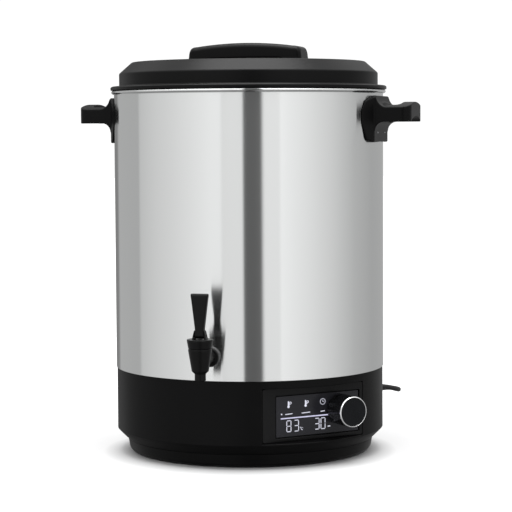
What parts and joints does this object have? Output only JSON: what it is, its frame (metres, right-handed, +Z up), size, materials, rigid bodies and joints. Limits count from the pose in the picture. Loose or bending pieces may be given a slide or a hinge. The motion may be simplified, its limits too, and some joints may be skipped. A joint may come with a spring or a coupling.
{
  "type": "electric brewing kettle",
  "caption": "Free-standing electric brewing kettle: steel pot on a heated black base with lift-off lid, side handles, lever tap, flat control panel with display and knob, and mains lead.",
  "frame": {"origin": "on the pot's axis at the flat boss in the middle of the underside, which is 2.5 mm above the floor that the feet stand on", "axes": "+Z up along the pot's axis, -Y towards the tap, +X towards the right handle as the tap is looked at"},
  "size_m": [0.456, 0.5473, 0.5448],
  "materials": {
    "polished_steel": "mirror polished stainless steel",
    "black_plastic": "satin moulded black plastic",
    "tap_plastic": "satin moulded black plastic",
    "panel_plastic": "fine satin black plastic",
    "smoked_glass": "smoked display pane with lit symbols",
    "knob_plastic": "black knob with a brushed face",
    "knob_chrome": "bright chrome",
    "zinc_hardware": "zinc plated steel",
    "aluminium_parts": "plain aluminium",
    "rubber": "black rubber",
    "silicone": "translucent silicone",
    "circuit_board": "green circuit board",
    "white_plastic": "off-white plastic",
    "cord_pvc": "black flexible PVC"
  },
  "bodies": {
    "kettle": {"vessel": "polished_steel", "false_bottom": "polished_steel", "handle_left": "black_plastic", "handle_right": "black_plastic", "handle_screw_left_a": "zinc_hardware", "handle_screw_left_b": "zinc_hardware", "handle_screw_right_a": "zinc_hardware", "handle_screw_right_b": "zinc_hardware", "tap_body": "tap_plastic", "tap_bonnet": "tap_plastic", "tap_washer_outer": "silicone", "tap_washer_inner": "silicone", "tap_nut": "zinc_hardware", "base_housing": "black_plastic", "bottom_cover": "black_plastic", "foot_1": "rubber", "foot_2": "rubber", "foot_3": "rubber", "foot_4": "rubber", "base_screw_1": "zinc_hardware", "base_screw_2": "zinc_hardware", "base_screw_3": "zinc_hardware", "base_screw_4": "zinc_hardware", "panel_frame": "panel_plastic", "display_window": "smoked_glass", "display_module": "white_plastic", "control_pcb": "circuit_board", "encoder_body": "zinc_hardware", "heat_plate": "aluminium_parts", "heating_element": "polished_steel", "heat_shield": "zinc_hardware", "shield_spacer_1": "zinc_hardware", "shield_spacer_2": "zinc_hardware", "shield_spacer_3": "zinc_hardware", "temperature_sensor": "zinc_hardware", "thermal_cutout": "white_plastic", "thermal_fuse": "white_plastic", "power_board": "circuit_board", "terminal_block": "white_plastic", "cord_strain_relief": "rubber", "cord": "cord_pvc", "cord_coil": "cord_pvc", "cord_tail": "cord_pvc", "plug_body": "cord_pvc", "plug_pin_1": "knob_chrome", "plug_pin_2": "knob_chrome"},
    "lid": {"lid_shell": "black_plastic", "lid_handle": "black_plastic", "lid_screw_left": "zinc_hardware", "lid_screw_right": "zinc_hardware"},
    "tap_lever": {"tap_lever": "tap_plastic", "tap_lever_pin": "zinc_hardware"},
    "tap_valve": {"tap_stem": "zinc_hardware", "tap_seat_cup": "silicone"},
    "encoder_rotor": {"encoder_rotor": "white_plastic"},
    "knob": {"encoder_shaft": "aluminium_parts", "knob_cap": "knob_plastic", "knob_ring": "knob_chrome"}
  },
  "joints": [
    {"name": "lid_lift", "type": "slide", "parent": "kettle", "child": "lid", "axis": [0, 0, 1], "range_m": [0, 0.25]},
    {"name": "tap_lever_tilt", "type": "hinge", "parent": "kettle", "child": "tap_lever", "pos_m": [0, -0.224, 0.1765], "axis": [1, 0, 0], "range_deg": [0, 35], "stiffness_Nm_per_rad": 0.12, "springref_deg": -5.73},
    {"name": "tap_valve_lift", "type": "slide", "parent": "kettle", "child": "tap_valve", "axis": [0, 0, 1], "range_m": [0, 0.0036]},
    {"name": "knob_turn", "type": "hinge", "parent": "kettle", "child": "encoder_rotor", "pos_m": [0.15733, -0.09723, 0.0694], "axis": [0.7071, -0.7071, 0], "continuous": true},
    {"name": "knob_press", "type": "slide", "parent": "encoder_rotor", "child": "knob", "axis": [-0.7071, 0.7071, 0], "range_m": [0, 0.0012], "stiffness_N_per_m": 900, "springref_m": -0.001}
  ],
  "couplings": [
    {"joint": "tap_valve_lift", "follows": "tap_lever_tilt", "m_per_rad": 0.0057}
  ]
}
